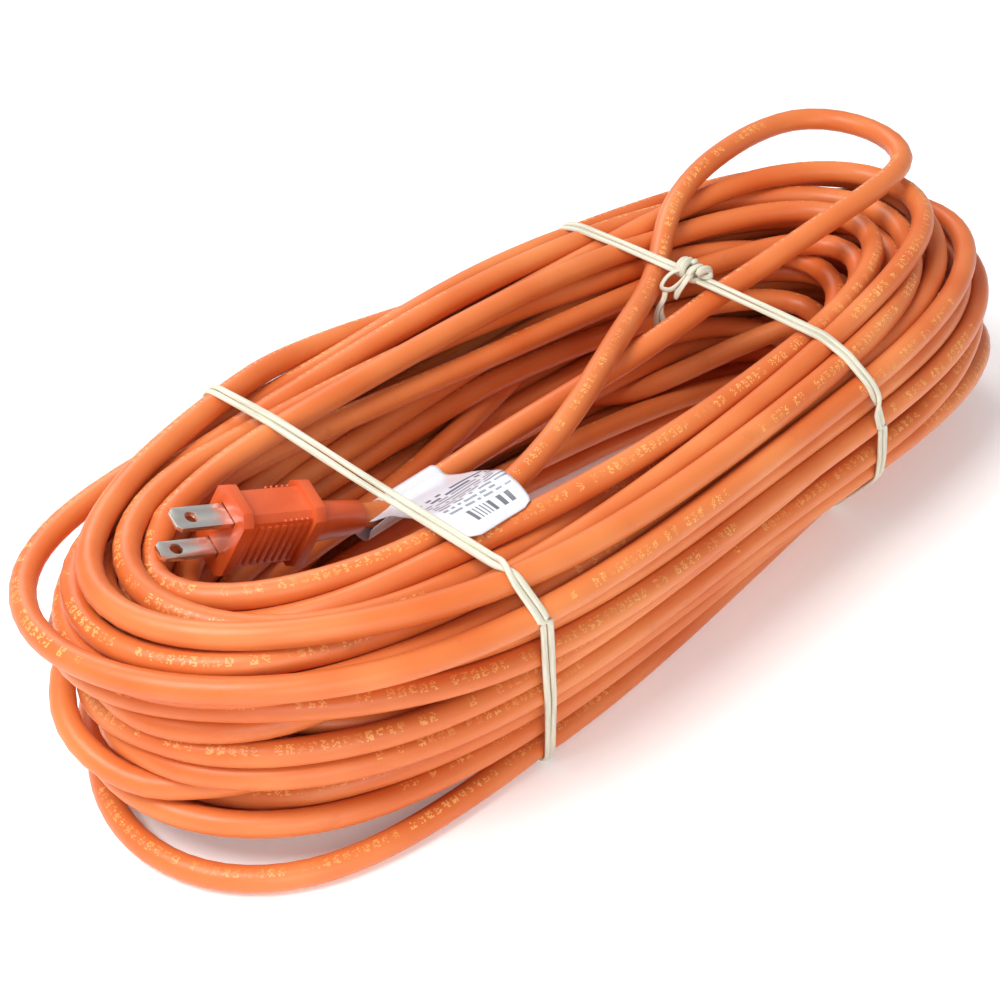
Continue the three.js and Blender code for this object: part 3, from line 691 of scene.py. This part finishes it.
materials = dict(
    jacket=jacketMaterial(),
    # injection-moulded flexible PVC: deeper red-orange than the jacket, satin, faint orange peel
    moulding=mottledMaterial("moulded red-orange PVC", "#dc602f", "#c94c1b", (0.3, 0.72), (60.0, 3.0),
                             {"IOR": 1.5, "Specular IOR Level": 0.5, "Coat Weight": 0.3, "Coat Roughness": 0.2},
                             (900.0, 2.0, 0.1, 0.0002), (240.0, 3.0, 0.18, 0.27)),
    blade=metalMaterial("nickel-plated brass strip", "#eeebe4", "#e2ddd3", 0.27, (200.0, 1500.0, 1500.0)),
    contact=metalMaterial("brass spring strip", "#c79c58", "#a57c3e", 0.22, (300.0, 2400.0, 2400.0)),
    copper=metalMaterial("stranded bare copper", "#c87a4c", "#9c5430", 0.24, (2600.0, 2600.0, 900.0)),
    bridge=plasticMaterial("ivory nylon", "#ddd5bf", "#cfc5aa", 0.5),
    coreWhite=plasticMaterial("white PVC insulation", "#efece2", "#dfdacc", 0.45),
    coreBlack=plasticMaterial("black PVC insulation", "#242322", "#161515", 0.42),
    tie=tieMaterial(),
)
print("materials made")

route = cordRoute()
rings = evenRings(route)
print(f"cord routed: {distances(rings)[-1] / 1000:.2f} m in {len(rings)} rings")
jacket = tubeMesh("cord_jacket", rings, cordSizes["diameter"] / 2, cordSizes["sides"], materials["jacket"])
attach(jacket, "root")
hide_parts("hank", "plug_lead", "connector_tail")
print("jacket made")


# the mouldings and the blades: the CAD shapes with their edges rounded

edgeAngles = dict(flat=1.0, bevel=28.0, sharp=42.0)  # degrees


def rounded(name, node, width, segments, material):
    source = nodes[node]
    mesh = source.data.copy()
    work = bmesh.new()
    work.from_mesh(mesh)
    bmesh.ops.transform(work, matrix=source.matrix_world, verts=work.verts)
    bmesh.ops.remove_doubles(work, verts=work.verts, dist=2e-6)
    bmesh.ops.dissolve_limit(work, angle_limit=math.radians(edgeAngles["flat"]), verts=work.verts, edges=work.edges)
    work.to_mesh(mesh)
    work.free()
    piece = bpy.data.objects.new(name, mesh)
    scene.collection.objects.link(piece)
    bevel = piece.modifiers.new("edges", "BEVEL")
    bevel.width, bevel.segments, bevel.limit_method = width, segments, "ANGLE"
    bevel.angle_limit, bevel.harden_normals = math.radians(edgeAngles["bevel"]), False
    shaped = applied(piece)
    shaped.materials.clear()
    shaped.materials.append(material)
    shaped.polygons.foreach_set("use_smooth", [True] * len(shaped.polygons))
    shaped.set_sharp_from_angle(angle=math.radians(edgeAngles["sharp"]))
    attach(piece, "root")
    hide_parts(node)
    return piece


plugMoulding = rounded("plug_moulding", "plug_body", 0.00045, 3, materials["moulding"])
outletMoulding = rounded("outlet_moulding", "connector_body", 0.0006, 3, materials["moulding"])
bladeWide = rounded("blade_wide", "blade_neutral", 0.00018, 2, materials["blade"])
bladeNarrow = rounded("blade_narrow", "blade_line", 0.00018, 2, materials["blade"])
innerFinishes = {
    "plug_bridge": "bridge", "connector_insert": "bridge", "contact_neutral": "contact", "contact_line": "contact",
    "plug_core_white": "coreWhite", "connector_core_white": "coreWhite",
    "plug_core_black": "coreBlack", "connector_core_black": "coreBlack",
    "plug_strands_white": "copper", "plug_strands_black": "copper",
    "connector_strands_white": "copper", "connector_strands_black": "copper",
}
for nodeName, finishName in innerFinishes.items():
    data = nodes[nodeName].data
    data.materials.clear()
    data.materials.append(materials[finishName])
print("both ends made")


# five small moulded pips in a row on each side of the plug's grip

pipRow = dict(count=5, start=(-22.4, 6.5, 8.9), step=1.85, radius=0.5)


def pipTree():
    # a straight row of small domes; every size is an input
    tree = bpy.data.node_groups.new("row of moulded pips", "GeometryNodeTree")
    sockets = {}
    for name, kind in (("Count", "NodeSocketInt"), ("Start", "NodeSocketVector"), ("Step", "NodeSocketVector"),
                       ("Radius", "NodeSocketFloat"), ("Material", "NodeSocketMaterial")):
        sockets[name] = tree.interface.new_socket(name, in_out="INPUT", socket_type=kind).identifier
    tree.interface.new_socket("Geometry", in_out="OUTPUT", socket_type="NodeSocketGeometry")
    given = addNode(tree, "NodeGroupInput").outputs
    line = addNode(tree, "GeometryNodeMeshLine", {"mode": "OFFSET"},
                   {"Count": given["Count"], "Start Location": given["Start"], "Offset": given["Step"]})
    dome = addNode(tree, "GeometryNodeMeshIcoSphere", {"Subdivisions": 3}, {"Radius": given["Radius"]})
    domes = addNode(tree, "GeometryNodeInstanceOnPoints", {},
                    {"Points": line.outputs["Mesh"], "Instance": dome.outputs["Mesh"]})
    real = addNode(tree, "GeometryNodeRealizeInstances", {}, {"Geometry": domes.outputs["Instances"]})
    smooth = addNode(tree, "GeometryNodeSetShadeSmooth", {}, {"Geometry": real.outputs["Geometry"]})
    painted = addNode(tree, "GeometryNodeSetMaterial", {},
                      {"Geometry": smooth.outputs["Geometry"], "Material": given["Material"]})
    addNode(tree, "NodeGroupOutput", {}, {"Geometry": painted.outputs["Geometry"]})
    return tree, sockets


def makePips(name, side, tree, sockets):
    piece = bpy.data.objects.new(name, bpy.data.meshes.new(name))
    scene.collection.objects.link(piece)
    x, y, z = pipRow["start"]
    grown = piece.modifiers.new("pips", "NODES")
    grown.node_group = tree
    values = dict(Count=pipRow["count"], Start=(x * mm, side * y * mm, z * mm), Step=(pipRow["step"] * mm, 0, 0),
                  Radius=pipRow["radius"] * mm, Material=materials["moulding"])
    for socket, value in values.items():
        grown[sockets[socket]] = value
    place = placeMatrix(plugPlace)
    place.translation *= mm
    applied(piece).transform(place)
    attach(piece, "root")
    return piece


pipGroup, pipSockets = pipTree()
pips = [makePips(f"plug_pips_{word}", side, pipGroup, pipSockets) for word, side in (("front", 1), ("back", -1))]
print("pips made")


# the ties, drawn round what the turns really fill

def hullOf(points):
    # convex hull of points in a plane, anticlockwise
    ordered = sorted(map(tuple, points))
    half = []
    for run in (ordered, ordered[::-1]):
        chain = []
        for q in run:
            while len(chain) > 1 and ((chain[-1][0] - chain[-2][0]) * (q[1] - chain[-2][1])
                                      - (chain[-1][1] - chain[-2][1]) * (q[0] - chain[-2][0])) <= 0:
                chain.pop()
            chain.append(q)
        half += chain[:-1]
    return np.array(half)


def crossings(tie):
    # where the cord passes through the tie's leaning plane, as (y, z)
    side = rings[:, 0] - tieX(tie, rings[:, 2])
    k = np.nonzero(side[:-1] * side[1:] < 0)[0]
    t = (side[k] / (side[k] - side[k + 1]))[:, None]
    return (rings[k] * (1 - t) + rings[k + 1] * t)[:, 1:]


def sweep(path, normals, sideways, halfWide, halfDeep, sides, closed, widths=None):
    # a flat oval strand along a path; returns its vertices, faces and a UV for each corner
    n = len(path)
    angle = np.linspace(0, 2 * np.pi, sides, endpoint=False)
    scale = np.ones(n) if widths is None else widths
    verts = (path[:, None] + scale[:, None, None] * (halfWide * np.cos(angle)[None, :, None] * sideways[:, None]
             + halfDeep * np.sin(angle)[None, :, None] * normals[:, None])).reshape(-1, 3)
    faces, uvs = [], []
    length = distances(path) / 1000
    last = n if closed else n - 1
    for i in range(last):
        j = (i + 1) % n
        u0, u1 = length[i], length[j] if j else length[i] + (length[1] - length[0])
        for k in range(sides):
            m = (k + 1) % sides
            faces.append((i * sides + k, j * sides + k, j * sides + m, i * sides + m))
            uvs += [(u0, k / sides), (u1, k / sides), (u1, (k + 1) / sides), (u0, (k + 1) / sides)]
    if not closed:
        faces.append(tuple(range(sides)))
        uvs += [(0, 0.5)] * sides
        faces.append(tuple((n - 1) * sides + k for k in reversed(range(sides))))
        uvs += [(0, 0.5)] * sides
    return verts, faces, uvs


def strandObject(name, parts, material):
    # several swept strands as one mesh with a UV map, outward faces
    verts, faces, uvs = [], [], []
    for v, f, uv in parts:
        base = len(verts)
        verts += [tuple(q) for q in np.asarray(v) * mm]
        faces += [tuple(base + k for k in face) for face in f]
        uvs += uv
    piece = meshObject(name, verts, faces, material)
    layer = piece.data.uv_layers.new(name="strandLength")
    layer.data.foreach_set("uv", np.array(uvs, float).ravel())
    work = bmesh.new()
    work.from_mesh(piece.data)
    bmesh.ops.recalc_face_normals(work, faces=work.faces)
    work.to_mesh(piece.data)
    work.free()
    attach(piece, "root")
    return piece


def tieBand(name, tie):
    radius = cordSizes["diameter"] / 2 + tie["strandDepth"] / 2 + 0.1
    angle = np.linspace(0, 2 * np.pi, 24, endpoint=False)
    ring = np.stack([np.cos(angle), np.sin(angle)], axis=1) * radius
    hull = hullOf((crossings(tie)[:, None] + ring[None]).reshape(-1, 2))
    flat = resample(np.column_stack([np.vstack([hull, hull[:1]]), np.zeros(len(hull) + 1)]), step=1.6)[:-1, :2]
    flat[:, 1] = np.maximum(flat[:, 1], tie["strandDepth"] / 2 + 0.1)
    for _ in range(2):
        flat = (np.roll(flat, 1, 0) + 2 * flat + np.roll(flat, -1, 0)) / 4
    n = len(flat)
    rng = np.random.default_rng(tie["seed"])
    wave = np.linspace(0, 2 * np.pi, n, endpoint=False)
    sway = sum(rng.normal() * 0.5 / k * np.sin(k * wave + rng.uniform(0, 6)) for k in (1, 2, 3, 5))
    path = np.column_stack([tieX(tie, flat[:, 1]) + sway, flat])
    tangent = unit(np.roll(path, -1, 0) - np.roll(path, 1, 0))
    across = np.array([1.0, 0, tie["lean"]])
    across = unit(across - tangent * (tangent @ across)[:, None])
    out = np.cross(tangent, across)
    out *= np.sign((out * (path - path.mean(0))).sum(1))[:, None]
    parts = []
    for sign in (-1, 1):
        spread = tie["spread"] * (1 + 0.18 * np.sin(4 * wave + sign))
        drift = 0.12 * np.sin(3 * wave + 2 * sign)
        # the two strands change places once, one over the other
        swap = np.pi * eased((wave / (2 * np.pi) - tie["crossing"]) / 0.03 + 0.5)
        drift = drift + np.sin(swap) * (0.65 + 0.65 * sign)
        line = path + (sign * spread * np.cos(swap))[:, None] * across + out * drift[:, None]
        widths = 1 + 0.08 * np.sin(7 * wave + sign)
        parts.append(sweep(line, out, across, tie["strandWidth"] / 2, tie["strandDepth"] / 2, 10, True, widths))
    piece = strandObject(name + "_strands", parts, materials["tie"])
    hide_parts(name)
    return piece, path


frontTie, frontPath = tieBand("tie_front", ties["tie_front"])
rearTie, rearPath = tieBand("tie_rear", ties["tie_rear"])


def openStrand(points, radius, flatness=0.8, step=0.7):
    path = resample(openSpline(points, 14), step=step)
    tangent = unit(np.gradient(path, axis=0))
    normal = np.zeros_like(path)
    guess = np.array([0.2, 0.1, 1.0])
    for i, t in enumerate(tangent):
        guess = guess - t * guess.dot(t)
        guess /= np.linalg.norm(guess)
        normal[i] = guess
    end = np.minimum(np.arange(len(path)), np.arange(len(path))[::-1])
    widths = np.clip(0.55 + 0.45 * end / 2, 0, 1)
    return sweep(path, normal, np.cross(tangent, normal), radius, radius * flatness, 8, False, widths)


def knot(name, node, middle, strands, size):
    # a pulled-tight knot: two wraps wound round the tie, with loops and loose tails
    parts = []
    for shift, tilt, laps in ((2.6, 0.10, 2.2), (-2.9, -0.28, 1.4)):
        lump = []
        for t in np.linspace(0, laps, int(laps * 12)):
            a, bulgeOut = 2 * math.pi * t, 1 + 0.12 * math.sin(5.3 * t + shift)
            across, high = size[0] * bulgeOut * math.cos(a), size[2] * bulgeOut * math.sin(a)
            lump.append((middle[0] + across, middle[1] + shift - size[1] * (t / laps - 0.5) + tilt * across,
                         middle[2] + high))
        parts.append(openStrand(lump, 1.35, 0.8))
    for points in strands:
        parts.append(openStrand([tuple(np.array(middle) + np.array(q)) for q in points], 1.0, 0.6))
    piece = strandObject(name, parts, materials["tie"])
    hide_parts(node)
    return piece


def onPath(path, y, top=True):
    # the tie's own place above or below a station across the hank
    keep = path[:, 2] > hankTop / 2 if top else path[:, 2] < hankTop / 2
    spots = path[keep]
    return spots[np.argmin(np.abs(spots[:, 1] - y))]


rearSpot = onPath(rearPath, 5.0)
rearKnot = knot("tie_rear_bow", "tie_rear_knot", (rearSpot[0], rearSpot[1], rearSpot[2] + 1.9), [
    [(-1.5, 1, 0.2), (-4.5, 3.0, 0.6), (-7.5, 4.6, -1.6), (-9.6, 4.4, -4.2), (-8.2, 2.0, -4.6), (-5, 0.4, -2.6),
     (-2, 0, -0.4)],
    [(-1, -1.5, 0.2), (-4.5, -2.2, -0.2), (-7.4, -1.8, -3.0), (-8.2, -0.6, -6.4), (-6.4, 0.6, -5.4), (-3, 0, -1)],
    [(-8.4, 3.6, -4.6), (-9.6, 3.2, -8), (-11.6, 3.8, -11.5), (-13.6, 2.6, -15), (-14.2, 0.6, -18.5)],
    [(-9.0, 4.4, -9.0), (-11.0, 3.0, -12.4), (-11.4, 1.2, -15.4), (-12.6, -0.6, -18)],
    [(1, -1.8, 0.4), (2.8, -4.4, 0.8), (2.2, -6.4, -0.2), (0.2, -5.2, -0.2), (0, -2, 0)],
], (3.3, 4.0, 2.1))
frontSpot = onPath(frontPath, 2.0, top=False)
frontKnot = knot("tie_front_bow", "tie_front_knot", (frontSpot[0], frontSpot[1], frontSpot[2] + 2.6), [
    [(1, 2, 0), (4, 6, 0.9), (7, 9, -0.7), (11, 11, -1.7)],
    [(-1, -2, 0), (-4, -6, 0.9), (-8, -8, -0.7), (-12, -11, -1.7)],
], (2.6, 3.4, 1.3))
print("ties made")


# the flag label: a plastic film wrapped once round the lead and stuck to itself

labelSizes = dict(thickness=0.28, corner=3.2, columns=25, wrapRadius=4.5)
leadAxis = [(-88.0, 4.9, 56.3), (-58.0, 3.1, 59.1)]
# stations across the flag, from its free edge to the lead: y, z, left x, right x
flagStations = [
    (-45.0, 80.7, -90.0, -66.5), (-40.5, 80.6, -91.0, -64.5), (-35.0, 80.2, -91.5, -62.5),
    (-28.0, 78.6, -91.5, -60.5), (-21.0, 75.2, -90.5, -59.5), (-14.0, 71.2, -89.0, -59.0),
    (-7.5, 67.0, -87.0, -59.5),
]


def labelMaterial():
    # White polypropylene film, glossy, with grey print: rules, short bars and a block of stripes
    material, tree = newMaterial("white polypropylene label film")
    given = addNode(tree, "ShaderNodeTexCoord")
    # x runs along the lead and y from the free edge, both in millimetres
    part = addNode(tree, "ShaderNodeSeparateXYZ", {}, {"Vector": given.outputs["UV"]})
    made = {"x": part.outputs["X"], "y": part.outputs["Y"], "place": given.outputs["Object"]}
    for name, sizeX, sizeY, seed in (("words", 0.9, 2.1, 2.0), ("titles", 1.4, 3.0, 5.0), ("bars", 0.36, 90.0, 7.0)):
        addSteps(tree, made, [
            ("across", "Math DIVIDE", "x", sizeX), ("down", "Math DIVIDE", "y", sizeY),
            ("cellX", "Math FLOOR", "across"), ("cellY", "Math FLOOR", "down"), (name + "Row", "Math FRACT", "down"),
            ("cell", "CombineXYZ", "cellX", "cellY", seed), (name, "TexWhiteNoise", "cell"),
        ])
    addSteps(tree, made, [
        ("tint", "TexNoise", "place", 0, 60.0, 3.0, 0.55), ("wave", "TexNoise", "place", 0, 70.0, 2.0, 0.55),
        ("amount", "Math MULTIPLY", "tint", 0.3),
    ])
    colour = addNode(tree, "ShaderNodeMix", {"data_type": "RGBA", 6: hexColour("#dddee5"), 7: hexColour("#c6c8d4")},
                     {0: made["amount"]})
    # each kind of mark: chance, share of the row it fills, y and x limits, strength, colour
    for name, chance, fills, (lowY, highY), (lowX, highX), strength, ink in (
        ("words", 0.22, 0.5, (12.6, 27.2), (4.0, 25.0), 0.75, "#5f6470"),
        ("titles", 0.25, 0.55, (27.0, 33.0), (5.0, 23.0), 0.85, "#3d4660"),
        ("bars", 0.5, 2.0, (5.0, 10.6), (6.5, 20.5), 0.9, "#4a4d52"),
    ):
        addSteps(tree, made, [
            ("marks", "Math GREATER_THAN", name, chance), ("row", "Math LESS_THAN", name + "Row", fills),
            ("overY", "Math GREATER_THAN", "y", lowY), ("underY", "Math LESS_THAN", "y", highY),
            ("overX", "Math GREATER_THAN", "x", lowX), ("underX", "Math LESS_THAN", "x", highX),
            *[("marks", "Math MULTIPLY", "marks", limit) for limit in ("row", "overY", "underY", "overX", "underX")],
            ("amount", "Math MULTIPLY", "marks", strength),
        ])
        colour = addNode(tree, "ShaderNodeMix", {"data_type": "RGBA", 7: hexColour(ink)},
                         {0: made["amount"], 6: colour})
    bump = addNode(tree, "ShaderNodeBump", {"Strength": 0.15, "Distance": 0.0006}, {"Height": made["wave"]})
    return finishMaterial(material, {"Roughness": 0.28, "IOR": 1.49}, {"Base Color": colour, "Normal": bump})


def makeLabel():
    # each column of the sheet: the flag from its free edge, then once round the lead
    start, end = (Vector(q) for q in leadAxis)
    count = labelSizes["columns"]
    r = labelSizes["wrapRadius"]
    stations = np.array(flagStations)
    grid = []
    for i in range(count):
        s = i / (count - 1)
        profile = []
        for y, z, left, right in stations:
            ripple = 0.5 * math.sin(3.1 * s + y * 0.09) + 0.35 * math.sin(7 * s + y * 0.2)
            curl = 1.6 * max(0.0, s - 0.6) ** 1.5 * max(0.0, (-y - 26) / 18)
            profile.append((left + (right - left) * s, y, z + ripple * 0.6 + curl))
        centre = start.lerp(end, s)
        for degrees in (128, 90, 50, 10, -30, -70, -110, -150, 175):
            a = math.radians(degrees)
            profile.append((centre.x, centre.y + r * math.cos(a), centre.z + r * math.sin(a)))
        y, z, left, right = stations[-1]
        profile.append((left + (right - left) * s, y + 0.9, z - 1.3))
        grid.append(resample(openSpline(profile, 10), count=61))
    grid = np.array(grid)
    # the flag lies on the strands under it
    turns = rings[40:]
    for _ in range(2):
        for column in grid:
            for point in column[:30]:
                near = turns[np.hypot(turns[:, 0] - point[0], turns[:, 1] - point[1]) < 8]
                near = near[near[:, 2] > 55]
                if len(near):
                    far = np.hypot(near[:, 0] - point[0], near[:, 1] - point[1])
                    lift = np.sqrt(np.maximum(0, 5.2 ** 2 - np.maximum(0, far - 1.5) ** 2))
                    point[2] = max(point[2], (near[:, 2] + np.where(far < 6.7, lift, -99)).max() - 0.75)
        grid[1:-1, :30] = (grid[:-2, :30] + 2 * grid[1:-1, :30] + grid[2:, :30]) / 4
        grid[:, 1:30] = (grid[:, :29] + 2 * grid[:, 1:30] + grid[:, 2:31]) / 4
    # the free edge's corners are rounded
    depth = distances(grid[count // 2])
    width = np.linalg.norm(grid[-1, 0] - grid[0, 0])
    for k, along in enumerate(depth):
        if along < labelSizes["corner"]:
            c = labelSizes["corner"]
            cut = (c - math.sqrt(max(0.0, c * c - (c - along) ** 2))) / width
            line = grid[:, k].copy()
            at = np.linspace(cut, 1 - cut, count)
            for axis in range(3):
                grid[:, k, axis] = np.interp(at, np.linspace(0, 1, count), line[:, axis])
    verts = grid.reshape(-1, 3) * mm
    rowsMade = grid.shape[1]
    faces, uvs = [], []
    for i in range(count - 1):
        for k in range(rowsMade - 1):
            face = (i * rowsMade + k, i * rowsMade + k + 1, (i + 1) * rowsMade + k + 1, (i + 1) * rowsMade + k)
            faces.append(face)
            uvs += [((f // rowsMade) / (count - 1) * width, depth[f % rowsMade]) for f in face]
    piece = meshObject("flag_label_film", verts, faces, labelMaterial())
    layer = piece.data.uv_layers.new(name="labelMillimetres")
    layer.data.foreach_set("uv", np.array(uvs, float).ravel())
    solid = piece.modifiers.new("film", "SOLIDIFY")
    solid.thickness, solid.offset = labelSizes["thickness"] * mm, 0.0
    applied(piece)
    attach(piece, "root")
    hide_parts("flag_label")
    return piece


label = makeLabel()
print("label made")
